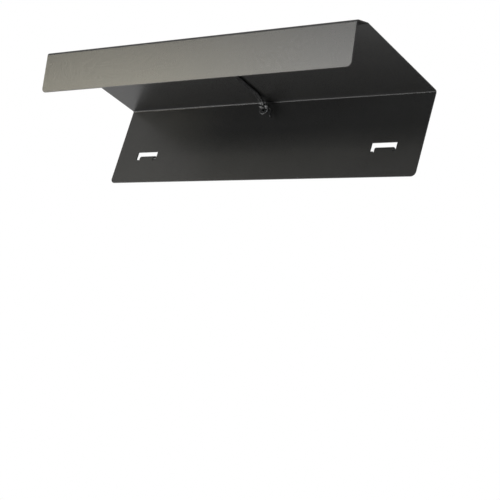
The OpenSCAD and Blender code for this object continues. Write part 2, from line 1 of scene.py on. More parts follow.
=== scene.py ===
# %% [markdown]
# # A music stand light
# The light is one bent sheet of steel that hooks over the top edge of a music stand's desk.
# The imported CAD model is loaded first, as a fixed frame in metres: +X runs along the hood,
# +Y to the back of the stand and +Z up. Everything that is made here is placed in that frame.

# %% Load the frame
import math

import bmesh
import bpy
import numpy as np
from mathutils import Matrix, Vector


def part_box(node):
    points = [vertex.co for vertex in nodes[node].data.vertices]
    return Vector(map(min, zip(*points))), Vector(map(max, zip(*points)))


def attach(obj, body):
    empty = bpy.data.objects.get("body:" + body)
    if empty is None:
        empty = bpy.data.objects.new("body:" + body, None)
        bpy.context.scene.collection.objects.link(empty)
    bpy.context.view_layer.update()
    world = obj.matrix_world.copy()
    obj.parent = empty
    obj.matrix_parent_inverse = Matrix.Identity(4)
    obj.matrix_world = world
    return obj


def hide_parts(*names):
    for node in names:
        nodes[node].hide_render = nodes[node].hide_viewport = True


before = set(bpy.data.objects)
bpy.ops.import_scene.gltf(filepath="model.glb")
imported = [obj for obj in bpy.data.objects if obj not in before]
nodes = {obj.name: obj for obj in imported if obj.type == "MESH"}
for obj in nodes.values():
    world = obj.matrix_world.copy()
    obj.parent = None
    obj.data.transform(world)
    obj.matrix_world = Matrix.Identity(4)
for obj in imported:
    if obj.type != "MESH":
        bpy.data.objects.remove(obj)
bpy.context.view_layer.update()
scene = bpy.context.scene
MM = 0.001

# %% [markdown]
# ## Camera
# The photograph looks up into the hood from below and from the right. The camera's place and
# direction were solved from the sheet's corners, so they are written down as numbers: where it
# stands, and its own right, down and forward directions in the object's frame.

# %% Place the camera
FOCAL_PIXELS = 1394.92
FRAME_PIXELS = 500
SENSOR_MM = 36
EYE = Vector((809.89, -868.62, -459.89)) * MM
RIGHT = Vector((0.76826, 0.58169, 0.26724))
DOWN = Vector((0.01521, 0.40076, -0.91606))
FORWARD = Vector((-0.63996, 0.70783, 0.29904))

lens = bpy.data.cameras.new("camera")
lens.sensor_fit = "HORIZONTAL"
lens.sensor_width = SENSOR_MM
lens.lens = FOCAL_PIXELS * SENSOR_MM / FRAME_PIXELS
camera = bpy.data.objects.new("camera", lens)
scene.collection.objects.link(camera)
turn = Matrix((RIGHT, -DOWN, -FORWARD)).transposed().to_4x4()
camera.matrix_world = Matrix.Translation(EYE) @ turn
scene.camera = camera
print("lens", round(lens.lens, 2), "mm")

# %% [markdown]
# ## Small tools for meshes
# A piece is made from lists of points and faces. Points are written in millimetres, as they are
# in the CAD source, and turned into metres in one place. Each piece rides on the body that
# carries it, and may stand for CAD nodes. A form could also be built with operators in edit mode,
# but lists of points need no selection and give the same mesh on every run.

# %% Tools for making a piece
MERGE_MM = 0.0005


def new_object(name, data):
    obj = bpy.data.objects.new(name, data)
    scene.collection.objects.link(obj)
    return obj


def piece(name, form, body="light", stands_for=()):
    points, faces = form
    mesh = bpy.data.meshes.new(name)
    mesh.from_pydata([tuple(float(c) * MM for c in p) for p in points], [], faces)
    tidy = bmesh.new()
    tidy.from_mesh(mesh)
    bmesh.ops.remove_doubles(tidy, verts=tidy.verts[:], dist=MERGE_MM * MM)
    bmesh.ops.recalc_face_normals(tidy, faces=tidy.faces[:])
    for face in tidy.faces:
        face.smooth = True
    tidy.to_mesh(mesh)
    tidy.free()
    obj = new_object(name, mesh)
    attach(obj, body)
    if stands_for:
        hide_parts(*stands_for)
    return obj


# %% [markdown]
# Small moulded details are rounded boxes and turned forms. A form here is a pair, its points and
# its faces, so forms can be moved and joined before one object is made from them.

# %% Tools for small forms
def rounded_box(size, radius, centre=(0, 0, 0), steps=2):
    box = bmesh.new()
    bmesh.ops.create_cube(box, size=1)
    bmesh.ops.scale(box, vec=Vector(size), verts=box.verts[:])
    bmesh.ops.bevel(box, geom=box.edges[:], offset=radius, segments=steps, profile=0.5,
                    affect="EDGES")
    box.verts.index_update()
    points = [tuple(v.co + Vector(centre)) for v in box.verts]
    faces = [[v.index for v in face.verts] for face in box.faces]
    box.free()
    return points, faces


def ring_faces(rows, n, closed):
    faces = []
    for i in range(rows if closed else rows - 1):
        this, following = i * n, (i + 1) % rows * n
        faces += [(this + k, this + (k + 1) % n, following + (k + 1) % n, following + k)
                  for k in range(n)]
    return faces


def turned(profile, steps, closed=False):
    angles = np.radians(np.arange(steps) * 360 / steps)
    points = [(r * math.cos(a), r * math.sin(a), h) for r, h in profile for a in angles]
    return points, ring_faces(len(profile), steps, closed)


def moved(form, matrix):
    points, faces = form
    return [tuple(matrix @ Vector(p)) for p in points], faces


def joined(forms):
    points, faces = [], []
    for some_points, some_faces in forms:
        start = len(points)
        points += list(some_points)
        faces += [[start + i for i in face] for face in some_faces]
    return points, faces


def arc(centre, radius, begin, end, steps=6):
    angles = np.radians(np.linspace(begin, end, steps + 1))
    return [(centre[0] + radius * math.cos(a), centre[1] + radius * math.sin(a)) for a in angles]


# %% [markdown]
# ## The lead
# The lead is a flat twin flex: two round cores side by side with a groove between them. It runs
# under the roof, comes down through a cable tie, and leaves through the grommet. The
# rest of it is put away behind the panel. A section that is swept along a smooth line is the
# simplest true form of a cord, so the line is a spline through the CAD route's own points.

# %% Lines and sections for the lead
CORE_R = 1.2
LEAD_W = 4 * CORE_R
LOBE_END, LOBE_STEP = 150, 25
ACROSS_X = np.array([1.0, 0, 0])
ACROSS_Y = np.array([0, 1.0, 0])


def spline(points, steps):
    p = np.array(points, float)
    p = np.vstack([2 * p[0] - p[1], p, 2 * p[-1] - p[-2]])
    line = []
    for a, b, c, d in zip(p, p[1:], p[2:], p[3:]):
        for t in np.arange(steps) / steps:
            line.append(0.5 * (2 * b + (c - a) * t + (2 * a - 5 * b + 4 * c - d) * t * t
                               + (3 * b - 3 * c + d - a) * t ** 3))
    return np.array(line + [p[-2]])


def ease(t):
    t = np.clip(t, 0, 1)
    return t * t * (3 - 2 * t)


def twin_section():
    angles = np.radians(np.arange(-LOBE_END, LOBE_END + 1, LOBE_STEP))
    lobe = np.column_stack([CORE_R + CORE_R * np.cos(angles), CORE_R * np.sin(angles)])
    return np.vstack([lobe, -lobe])


def swept(line, across, section, closed=False):
    line = np.array(line, float)
    if closed:
        ahead = np.roll(line, -1, 0) - np.roll(line, 1, 0)
    else:
        ahead = np.gradient(line, axis=0)
    ahead /= np.linalg.norm(ahead, axis=1)[:, None]
    wide = across - (across * ahead).sum(1)[:, None] * ahead
    wide /= np.linalg.norm(wide, axis=1)[:, None]
    thick = np.cross(ahead, wide)
    rings = (line[:, None] + section[None, :, :1] * wide[:, None]
             + section[None, :, 1:] * thick[:, None])
    n, rows = len(section), len(line)
    faces = ring_faces(rows, n, closed)
    if not closed:
        last = (rows - 1) * n
        faces += [tuple(range(n))[::-1], tuple(range(last, last + n))]
    return rings.reshape(-1, 3), faces


def lead(name, line, across, stands_for):
    length = np.linalg.norm(np.diff(line, axis=0), axis=1).sum()
    print(name, "length", round(length, 1), "mm")
    form = swept(line, across, twin_section())
    return piece(name, form, stands_for=stands_for), length * MM


# %% [markdown]
# The stretch inside the hood starts at the channel, lies flat along the roof under its clip, and
# comes down in an easy bend to the hole, a little to the left of where it lay. On the way down
# each point starts with its share of that step to the left.

# %% Lead inside the hood
LINE_STEPS = 10
HOLE_X, HOLE_Z = -6.0, 47.7
LEAD_X, LEAD_TOP = -2.4, 53.4

roof_run = [(-110.51, 49.59), (-105.81, 51.3), (-100.2, 53.2), (-92.2, LEAD_TOP),
            (-76, LEAD_TOP), (-34, LEAD_TOP), (-27, 53.3)]
way_down = [(0.05, -21, 53.0), (0.2, -16, 52.3), (0.36, -11.5, 51.4), (0.55, -8, 49.7),
            (0.84, -4.9, 48.2), (1, -2, HOLE_Z), (1, 1.5, HOLE_Z)]
inner_points = ([(LEAD_X, y, z) for y, z in roof_run]
                + [(LEAD_X + share * (HOLE_X - LEAD_X), y, z) for share, y, z in way_down])
inner_line = spline(inner_points, LINE_STEPS)
inner_cord, inner_length = lead("inner_cord", inner_line, ACROSS_X, ["inner_lead"])

# %% [markdown]
# Behind the panel the lead turns down and to the left, and goes into the switch. Its width
# turns from lying along X to lying along Y on the way, as a flat cord does when it turns aside.

# %% Lead from the hole to the switch
HANK_Z = 22.0
SWITCH_Y = 30.8
TWIST_FROM, TWIST_OVER = 0.3, 0.4
drop_points = [(HOLE_X, 1.5, HOLE_Z), (HOLE_X, 7, HOLE_Z), (HOLE_X, 13, 47.4), (-5.3, 19.4, 45.6),
               (-4.2, 25, 42), (-3.4, 28.6, 36.6), (-4.4, 30, 30.6), (-8.4, 30.6, 25.8),
               (-14.6, SWITCH_Y, 22.8), (-23, SWITCH_Y, HANK_Z), (-33, SWITCH_Y, HANK_Z),
               (-42, SWITCH_Y, HANK_Z), (-46, SWITCH_Y, HANK_Z)]
drop_line = spline(drop_points, LINE_STEPS)
twist = ease((np.linspace(0, 1, len(drop_line)) - TWIST_FROM) / TWIST_OVER)[:, None]
drop_cord, drop_length = lead("drop_cord", drop_line, (1 - twist) * ACROSS_X + twist * ACROSS_Y,
                              ["cord_drop"])

# %% [markdown]
# The photograph doesn't show the rest of the lead. About 1.6 m of it is folded into a flat hank
# behind the panel, drawn in at its waist by a strap. Each layer is a spiral whose height shrinks
# near the middle, and the lead steps from the front layer to the back one half way.

# %% Lead from the switch, through the hank, to the plug
# Place in Y of the front layer, and the step from it to the back one
HANK_Y, HANK_LAYER = 15.4, 5.6
# Half length of the inmost turn, its half height at the ends and at the waist
HANK_HALF, HANK_RISE, HANK_WAIST = 44, 18, 2.6
# What a turn adds on each side, how far the waist reaches, and how much the ends swell
HANK_STEP, HANK_REACH, HANK_SWELL = 4.1, 24, 0.25
# Degrees in which the lead changes layers, and how softly the inward spiral turns outward
HANK_CLIMB, HANK_BACK = 90, 0.15
# Degrees where the lead comes in and goes out, and the loops in each layer
HANK_BEGIN, HANK_END, HANK_LOOPS = 128, 52, 3
HANK_TURN = 720 * HANK_LOOPS + HANK_BEGIN - HANK_END
POINTS_PER_TURN = 72


def hank_line():
    swung = np.linspace(0, HANK_TURN, round(POINTS_PER_TURN * HANK_TURN / 360) + 1)
    angle = np.radians(HANK_BEGIN - swung)
    grow = HANK_STEP * np.hypot(swung / 360 - HANK_TURN / 720, HANK_BACK)
    x = (HANK_HALF + grow) * np.cos(angle)
    pull = np.exp(-(x / HANK_REACH) ** 2)
    tall = ((1 - pull) * HANK_RISE + pull * HANK_WAIST + grow) * (1 + HANK_SWELL * (1 - pull))
    y = HANK_Y + HANK_LAYER * ease((swung - HANK_TURN / 2) / HANK_CLIMB + 0.5)
    return np.column_stack([x, y, HANK_Z + tall * np.sin(angle)])


def unit(v):
    return v / np.linalg.norm(v)


hank = hank_line()
hank_back = HANK_Y + HANK_LAYER
RUN_OUT, RUN_IN = 6, 4
SWITCH_END = -98
TURN_X = SWITCH_END - RUN_OUT
PLUG_AT = np.array([66, hank_back, HANK_Z + 12])
link_points = [(SWITCH_END + RUN_IN, SWITCH_Y, HANK_Z), (SWITCH_END, SWITCH_Y, HANK_Z),
               (TURN_X, SWITCH_Y, HANK_Z), (TURN_X - 11, SWITCH_Y - 2.3, HANK_Z + 4),
               (TURN_X - 16, (SWITCH_Y + HANK_Y) / 2, HANK_Z + 14),
               (TURN_X - 11, HANK_Y + 2.2, HANK_Z + 24), (TURN_X, HANK_Y, HANK_Z + 28),
               (TURN_X + 16, HANK_Y, HANK_Z + 29), (TURN_X + 40, HANK_Y, HANK_Z + 29),
               hank[0] - RUN_OUT * unit(hank[1] - hank[0]), hank[0]]
tail_points = [hank[-1], hank[-1] + RUN_OUT * unit(hank[-1] - hank[-2]),
               (50, hank_back, HANK_Z + 28.8), (58.4, hank_back, HANK_Z + 25.6),
               (64, hank_back, HANK_Z + 20.4), PLUG_AT + [0, 0, LEAD_W], PLUG_AT]
long_line = np.vstack([spline(link_points, LINE_STEPS)[:-1], hank,
                       spline(tail_points, LINE_STEPS)[1:]])
long_cord, long_length = lead("long_cord", long_line, ACROSS_Y,
                              ["cord_link", "cord_hank", "cord_tail"])

# %% [markdown]
# ## Grommet
# A soft rubber ring lines the hole, so that the sheet's edge can't cut the lead. It is a turned
# form: a bore with rounded mouths, two full round flanges, and a groove between them that grips
# the sheet. A torus would miss the groove and the bore, so the profile is drawn and turned.

# %% Turn the grommet
BORE_R, MOUTH_R, GROOVE_R, FLANGE_R, FLANGE_T, SHEET_T = 2.55, 0.5, 4.1, 5.5, 1.5, 1.2
GROMMET_STEPS = 64
round_r = FLANGE_T / 2
grommet_profile = (arc((BORE_R + MOUTH_R, MOUTH_R - FLANGE_T), MOUTH_R, 180, 270)
                   + arc((FLANGE_R - round_r, -round_r), round_r, -90, 90, 10)
                   + [(GROOVE_R, 0), (GROOVE_R, SHEET_T)]
                   + arc((FLANGE_R - round_r, SHEET_T + round_r), round_r, -90, 90, 10)
                   + arc((BORE_R + MOUTH_R, SHEET_T + FLANGE_T - MOUTH_R), MOUTH_R, 90, 180))
face_front = (Matrix.Translation((HOLE_X, 0, HOLE_Z))
              @ Matrix.Rotation(math.radians(90), 4, "X"))
grommet_form = moved(turned(grommet_profile, GROMMET_STEPS, closed=True), face_front)
grommet_ring = piece("grommet_ring", grommet_form, stands_for=["grommet"])
print("grommet", len(grommet_ring.data.polygons), "faces")

# %% [markdown]
# ## Cable tie
# A small nylon tie is drawn round the lead just before the grommet, so that a pull on the lead
# stops there. It has a flat band with soft edges, a square head with the pawl's frame on it, and
# a cut end that hangs down, with the fine rungs that the pawl bites. The band and the end are one
# flat section that is swept along two lines. The tie is drawn upright first, and then turned to
# the lead's own directions at that place: across it, along it and up.

# %% Draw the cable tie
TIE_W, TIE_T, TIE_ROOM, TIE_SOFT, TIE_CORNER = 2.5, 1.0, 0.1, 0.25, 1.5
TIE_SIDE = LEAD_W / 2 + TIE_ROOM + TIE_T
HEAD_SIZE, HEAD_SOFT, HEAD_SUNK, HEAD_BACK = (3.5, 4.2, 4.0), 0.55, 0.1, 1.0
HEAD_FRONT = HEAD_BACK - HEAD_SIZE[1]
PAWL_SIZE, PAWL_SOFT, PAWL_X, PAWL_OUT = (2.3, 0.5, 2.8), 0.2, 1.7, 0.05
END_ROUTE = [(0, 0), (2.2, -1.2), (4.4, -3.6), (5.8, -6.4), (6.6, -9), (7.1, -11.2)]
END_STEPS = 8
RUNG_SIZE, RUNG_SOFT, RUNG_FIRST, RUNG_EVERY = (TIE_T + 0.24, 1.5, 0.4), 0.1, 7, 3
ROUTE_STEPS, PAST_ROOF = 3, 11

tie_route = spline(inner_points, ROUTE_STEPS)
tie_index = ROUTE_STEPS * len(roof_run) + PAST_ROOF
along = Vector(tie_route[tie_index + 1] - tie_route[tie_index - 1]).normalized()
across = (Vector(ACROSS_X) - along.x * along).normalized()
on_lead = (Matrix.Translation(Vector(tie_route[tie_index]))
           @ Matrix((across, along, across.cross(along))).transposed().to_4x4())


def corners(half_u, half_v, radius, steps):
    u, v = half_u - radius, half_v - radius
    return [p for x, y, begin in ((u, v, 0), (-u, v, 90), (-u, -v, 180), (u, -v, 270))
            for p in arc((x, y), radius, begin, begin + 90, steps)]


def strip_section(width, thickness, soft):
    return np.array(corners(width / 2, thickness / 2, soft, 3))


tie_section = strip_section(TIE_W, TIE_T, TIE_SOFT)
band_loop = corners(TIE_SIDE - TIE_T / 2, CORE_R + TIE_ROOM + TIE_T / 2, TIE_CORNER, 6)
band = swept([(x, 0, z) for x, z in band_loop], ACROSS_Y, tie_section, closed=True)
head_at = (TIE_SIDE - HEAD_SUNK + HEAD_SIZE[0] / 2, HEAD_FRONT + HEAD_SIZE[1] / 2, 0)
head = rounded_box(HEAD_SIZE, HEAD_SOFT, head_at, 3)
pawl = rounded_box(PAWL_SIZE, PAWL_SOFT, (TIE_SIDE + PAWL_X, HEAD_FRONT - PAWL_OUT, 0))
end_from = TIE_SIDE + HEAD_SIZE[0] - HEAD_SUNK
end_line = spline([(end_from + x, 0, z) for x, z in END_ROUTE], END_STEPS)
tie_end = swept(end_line, ACROSS_Y, tie_section)
rungs = []
for i in range(RUNG_FIRST, len(end_line) - 2, RUNG_EVERY):
    before, here, after = end_line[i - 1:i + 2]
    lean = math.atan2(after[0] - before[0], after[2] - before[2])
    stand = Matrix.Translation(here) @ Matrix.Rotation(lean, 4, "Y")
    rungs.append(moved(rounded_box(RUNG_SIZE, RUNG_SOFT), stand))
tie_form = moved(joined([band, head, pawl, tie_end] + rungs), on_lead)
cable_tie = piece("cable_tie", tie_form, stands_for=["cord_tie"])
print("cable tie with", len(rungs), "rungs")

# %% [markdown]
# ## Strap round the hank
# A woven hook strap holds the folded lead at its waist. It is a soft band, so it is drawn as one
# closed strip with well rounded corners, and a free end that is lapped over its back. The node's
# box gives the strip its place. The lap's route is given by how far it stands off the strip's
# back, and by its height.

# %% Draw the strap
STRAP_W, STRAP_T, STRAP_THIN, STRAP_SOFT, STRAP_CORNER = 10.0, 1.4, 0.92, 0.5, 2.7
LAP_T, LAP_SOFT, LAP_STEPS = 1.1, 0.4, 6
LAP_ROUTE = [(-0.7, 7), (-0.2, 8.6), (0.35, 11), (0.55, 15), (0.6, 20), (0.75, 24), (1.1, 26)]
strap_low, strap_high = [Vector(c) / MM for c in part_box("hank_tie")]
strap_mid = (strap_low + strap_high) / 2
half_deep = (strap_high.y - strap_low.y - STRAP_T) / 2
half_tall = (strap_high.z - strap_low.z - STRAP_T) / 2
strap_loop = [(0, strap_mid.y + y, strap_mid.z + z)
              for y, z in corners(half_deep, half_tall, STRAP_CORNER, 8)]
strap_section = strip_section(STRAP_W, STRAP_T * STRAP_THIN, STRAP_SOFT)
strap_band = swept(strap_loop, ACROSS_X, strap_section, closed=True)
lap_line = spline([(0, strap_high.y + off, z) for off, z in LAP_ROUTE], LAP_STEPS)
strap_lap = swept(lap_line, ACROSS_X, strip_section(STRAP_W, LAP_T, LAP_SOFT))
hank_strap = piece("hank_strap", joined([strap_band, strap_lap]),
                   stands_for=["hank_tie"])
print("strap", [round(v, 1) for v in strap_low], "to", [round(v, 1) for v in strap_high])

# %% [markdown]
# ## Plug
# The lead ends in a round low voltage plug. Its moulded body has a slotted strain relief that
# bends with the lead, and rings on its grip for the fingers. A turned profile gives both: a slot
# and a ring are short outlines, in radius and height, that are repeated along it. The metal
# barrel, the insulator and the spring contact keep their CAD shapes.

# %% Turn the plug's body
RELIEF_L, RELIEF_R, RELIEF_TAPER = 10.0, 3.2, 0.04
GRIP_L, GRIP_R, GRIP_ROUND = 14.0, 4.8, 1
NECK_R, NECK_L, NECK_SOFT = 2.56, 4, 0.2
SLOT = [(0, 0), (-0.15, 0.1), (-0.6, 0.25), (-0.6, 0.85), (-0.15, 1.0), (0, 1.1)]
SLOTS, SLOT_FIRST, SLOT_PITCH = 4, 1.3, 2.1
RING = [(0, 0), (-0.3, 0.2), (-0.3, 0.5), (0, 0.7)]
RINGS, RING_FIRST, RING_PITCH = 6, 2.6, 1.5
PLUG_STEPS = 56

plug_profile = [(0, 0), (RELIEF_R - 0.3, 0), (RELIEF_R, 0.3)]
for step in range(SLOTS):
    low = SLOT_FIRST + SLOT_PITCH * step
    outer = RELIEF_R + RELIEF_TAPER * low
    plug_profile += [(outer + r, low + h) for r, h in SLOT]
plug_profile += [(3.6, RELIEF_L), (4.3, RELIEF_L + 0.3), (4.7, RELIEF_L + 0.7),
                 (GRIP_R, RELIEF_L + 1.2)]
for step in range(RINGS):
    low = RELIEF_L + RING_FIRST + RING_PITCH * step
    plug_profile += [(GRIP_R + r, low + h) for r, h in RING]
plug_face = RELIEF_L + GRIP_L
plug_profile += arc((GRIP_R - GRIP_ROUND, plug_face - GRIP_ROUND), GRIP_ROUND, 0, 90, 5)
plug_profile += [(NECK_R + NECK_SOFT, plug_face), (NECK_R, plug_face - NECK_SOFT),
                 (NECK_R, plug_face - NECK_L), (0, plug_face - NECK_L)]
hang = Matrix.Translation(Vector(PLUG_AT)) @ Matrix.Rotation(math.pi, 4, "X")
plug_grip = piece("plug_grip", moved(turned(plug_profile, PLUG_STEPS), hang),
                  stands_for=["plug_body"])
print("plug body", len(plug_profile), "points in its profile")

# %% [markdown]
# ## Marks on the rocker and slots in the screws
# The switch's case is a CAD shape. What it lacks is what a hand and an eye look for: the line and
# the ring that mark on and off, and the crossed slots of the case screws. The marks are thin
# raised forms that ride with the rocker, and lie on the two slopes of its crown. The slots are
# crossed bars set into the screw heads and coloured near black as painted shade: the recesses are
# not cut, and the bars' dark colour stands in for the shade inside them.

# %% Mark the rocker
SWITCH_X, PIVOT_H, SWING = -70.0, 3.2, 18.0
CROWN_DROP, CROWN_RUN = 1.2, 7.3
MARK_X, MARK_H = 3.9, 4.84
LINE_SIZE, LINE_SOFT = (0.5, 2.6, 0.2), 0.08
RING_PROFILE = [(0.85, -0.1), (1.3, -0.1), (1.3, 0.06), (1.22, 0.1), (0.93, 0.1), (0.85, 0.06)]
RING_STEPS = 32

in_switch = (Matrix.Translation((SWITCH_X, SWITCH_Y, HANK_Z))
             @ Matrix.Rotation(math.radians(-90), 4, "X"))
in_rocker = (in_switch @ Matrix.Translation((0, 0, PIVOT_H))
             @ Matrix.Rotation(math.radians(SWING / 2), 4, "Y"))
slope = math.atan2(CROWN_DROP, CROWN_RUN)
on_left, on_right = [in_rocker @ Matrix.Translation((side * MARK_X, 0, MARK_H))
                     @ Matrix.Rotation(-side * slope, 4, "Y") for side in (-1, 1)]
on_line = moved(rounded_box(LINE_SIZE, LINE_SOFT), on_right)
off_ring = moved(turned(RING_PROFILE, RING_STEPS, closed=True), on_left)
rocker_marks = piece("rocker_marks", joined([on_line, off_ring]), body="rocker")
print("marks", len(rocker_marks.data.vertices), "points")

# %% Slot the case screws
SCREW_X, SCREW_Y, SCREW_TOP = 20, -5.4, -5.85
BAR_SIZE, BAR_SOFT, BAR_ANGLES = (2.3, 0.5, 0.2), 0.06, (25, 115)
bars = []
for side in (-1, 1):
    for angle in BAR_ANGLES:
        on_head = (in_switch @ Matrix.Translation((side * SCREW_X, SCREW_Y, SCREW_TOP))
                   @ Matrix.Rotation(math.radians(angle * side), 4, "Z"))
        bars.append(moved(rounded_box(BAR_SIZE, BAR_SOFT), on_head))
screw_slots = piece("screw_slots", joined(bars))
print("slots", len(bars))

# %% [markdown]
# ## The free lead's length
# A cord is more than its shape: it has a length, a width and something on its far end. The drop
# to the switch and the long run through the hank to the plug are added up, and their length is
# printed.


print("free lead", round(drop_length + long_length, 2), "m")

# %% [markdown]
# ## Details on the strip board
# Under the diffuser each emitter is a white frame with a dome of yellow gel in it, soldered to
# two tinned pads. The resistors have bright ends. These are many copies of small forms, so each
# kind is one mesh, placed by the same pitch as in the CAD source.

# %% Gel, pads and resistor ends
BEVEL_MID, BEVEL_TURN = Vector((0, -117.667, 52.308)), 200
BOARD_L, BOARD_TOP, CHIPS, CHIP_H, RESISTORS = 308.0, 2.6, 24, 0.8, 8
GEL_SIZE, GEL_SOFT = (2.5, 1.9, 0.24), 0.11
PAD_SIZE, PAD_SOFT, PAD_X, PAD_H = (0.8, 2.3, 0.1), 0.03, 2.0, 0.04
END_SIZE, END_SOFT, END_X, END_Y, END_H = (0.5, 1.66, 0.66), 0.08, 1.4, 2.8, 0.31


def in_row(count):
    return [(i - (count - 1) / 2) * BOARD_L / count for i in range(count)]


on_bevel = Matrix.Translation(BEVEL_MID) @ Matrix.Rotation(math.radians(BEVEL_TURN), 4, "X")
gels = [rounded_box(GEL_SIZE, GEL_SOFT, (x, 0, BOARD_TOP + CHIP_H)) for x in in_row(CHIPS)]
pads = [rounded_box(PAD_SIZE, PAD_SOFT, (x + side * PAD_X, 0, BOARD_TOP + PAD_H), 1)
        for x in in_row(CHIPS) for side in (-1, 1)]
ends = [rounded_box(END_SIZE, END_SOFT, (x + side * END_X, END_Y, BOARD_TOP + END_H), 1)
        for x in in_row(RESISTORS) for side in (-1, 1)]
piece("led_gel", moved(joined(gels), on_bevel))
piece("board_pads", moved(joined(pads), on_bevel))
piece("resistor_ends", moved(joined(ends), on_bevel))
print("gels", len(gels), "pads", len(pads), "ends", len(ends))

# %% [markdown]
# ## Soft edges
# No real edge is razor sharp: sheet metal is deburred and moulded plastic has radii. The CAD
# nodes keep their meshes, and modifiers round what shows. The points are welded, flat triangles
# are merged into whole faces, the sharp edges get a small round, and weighted normals keep the
# flats flat in the light.

# %% Round the edges of the CAD nodes
WELD_MM = 0.001
FLAT_ANGLE, SHARP_ANGLE = math.radians(0.6), math.radians(34)


def soften(obj, width):
    obj.modifiers.new("weld", "WELD").merge_threshold = WELD_MM * MM
    merge = obj.modifiers.new("whole faces", "DECIMATE")
    merge.decimate_type = "DISSOLVE"
    merge.angle_limit = FLAT_ANGLE
    edge = obj.modifiers.new("soft edges", "BEVEL")
    edge.width = width * MM
    edge.segments = 2
    edge.limit_method = "ANGLE"
    edge.angle_limit = SHARP_ANGLE
    obj.modifiers.new("even shading", "WEIGHTED_NORMAL").keep_sharp = True


EDGES = {"hood": 0.2, "led_channel": 0.15, "led_board": 0.08, "led_chips": 0.08,
         "led_resistors": 0.08, "diffuser": 0.2, "end_cap_left": 0.4, "end_cap_right": 0.4,
         "cord_clip": 0.45, "channel_tape": 0.1, "switch_base": 0.5, "switch_cover": 0.5,
         "switch_rocker": 0.35, "switch_screws": 0.25, "contact_spring": 0.1,
         "switch_terminals": 0.12, "rocker_pin": 0.15, "plug_barrel": 0.12,
         "plug_insulator": 0.15, "plug_contact": 0.06}
for name, width in EDGES.items():
    soften(nodes[name], width)
print("softened", len(EDGES), "nodes")

# %% [markdown]
# ## Effects that the finishes share
# Every surface here has fine relief and slow changes of tone. Three groups make these from the
# object's own coordinates, in metres, so their scale is a real size. Each gives a height for the
# bump and a tone for colour and roughness. A fourth lays dust on what faces up. Image textures
# would need unwrapping, and these need none.

# %% Tools for node trees
def add(tree, kind, feeds=(), **settings):
    node = tree.nodes.new(kind)
    for key, value in settings.items():
        setattr(node, key, value)
    for socket, value in dict(feeds).items():
        if isinstance(value, bpy.types.NodeSocket):
            tree.links.new(value, node.inputs[socket])
        else:
            node.inputs[socket].default_value = value
    return node


def math_node(tree, operation, *values):
    return add(tree, "ShaderNodeMath", enumerate(values), operation=operation).outputs[0]


def noise(tree, where, scale, detail, roughness=0.5):
    feeds = {"Vector": where, "Scale": scale, "Detail": detail, "Roughness": roughness}
    return add(tree, "ShaderNodeTexNoise", feeds).outputs["Fac"]


def ranged(tree, value, low, high, to_low=0.0, to_high=1.0):
    feeds = {"Value": value, "From Min": low, "From Max": high,
             "To Min": to_low, "To Max": to_high}
    return add(tree, "ShaderNodeMapRange", feeds).outputs[0]


# %% [markdown]
# An effect starts with its inputs and the object's coordinates, and ends with what it gives.

# %% Tools for effects
def effect(name, **inputs):
    group = bpy.data.node_groups.new(name, "ShaderNodeTree")
    for label, value in inputs.items():
        socket = group.interface.new_socket(label, in_out="INPUT", socket_type="NodeSocketFloat")
        socket.default_value = value
    where = add(group, "ShaderNodeTexCoord").outputs["Object"]
    return group, add(group, "NodeGroupInput").outputs, where


def give(group, **outputs):
    for label in outputs:
        group.interface.new_socket(label, in_out="OUTPUT", socket_type="NodeSocketFloat")
    add(group, "NodeGroupOutput", outputs)
    print(group.name, "gives", list(outputs))


# %% [markdown]
# Fine grain is the skin of powder coat and of spark-eroded moulds: small round bumps, with large
# faint patches where the coat or the mould is a little different.

# %% Fine grain
fine_grain, given, where = effect("fine grain", Fineness=2000, Patches=30)
bumps = noise(fine_grain, where, given["Fineness"], 2, 0.6)
patches = noise(fine_grain, where, given["Patches"], 3, 0.55)
specks = math_node(fine_grain, "MULTIPLY", bumps, 0.8)
tone = math_node(fine_grain, "MULTIPLY_ADD", patches, 0.2, specks)
give(fine_grain, Height=bumps, Tone=tone)

# %% [markdown]
# Drawn lines are left by a die on extruded aluminium, on wire and on stamped strip. They are
# noise that is stretched a long way along X and kept fine across it.

# %% Drawn lines
drawn_lines, given, where = effect("drawn lines", Fineness=4000, Patches=30)
stretched = add(drawn_lines, "ShaderNodeMapping", {"Vector": where, "Scale": (0.01, 1, 1)})
lines = noise(drawn_lines, stretched.outputs["Vector"], given["Fineness"], 3)
stains = noise(drawn_lines, where, given["Patches"], 2)
streaks = math_node(drawn_lines, "MULTIPLY", lines, 0.6)
tone = math_node(drawn_lines, "MULTIPLY_ADD", stains, 0.4, streaks)
give(drawn_lines, Height=lines, Tone=tone)

# %% [markdown]
# The strap is woven. One set of threads runs along X and the other goes round the band, so the
# two sines of these directions, multiplied, give the over and under of a plain weave. The tone is
# that height times a fuzz noise. The dips between the threads therefore get a darker colour, which
# is painted shade, and the fuzz is a random change of tone.

# %% Strap weave
strap_weave, given, where = effect("strap weave", Fineness=8000, Patches=200)
axes = add(strap_weave, "ShaderNodeSeparateXYZ", {"Vector": where}).outputs
around = math_node(strap_weave, "ADD", axes["Y"], axes["Z"])
warp, weft = [math_node(strap_weave, "SINE",
                        math_node(strap_weave, "MULTIPLY", place, given["Fineness"]))
              for place in (axes["X"], around)]
crossed = math_node(strap_weave, "MULTIPLY", warp, weft)
height = math_node(strap_weave, "MULTIPLY_ADD", crossed, 0.5, 0.5)
fuzz = noise(strap_weave, where, given["Patches"], 4)
# Tone follows the weave's height: painted shade in the dips between threads, times random fuzz.
give(strap_weave, Height=height, Tone=math_node(strap_weave, "MULTIPLY", height, fuzz))

# %% [markdown]
# Dust settles on faces that look up, in loose patches. The normal's Z gives the faces and a noise
# gives the patches.

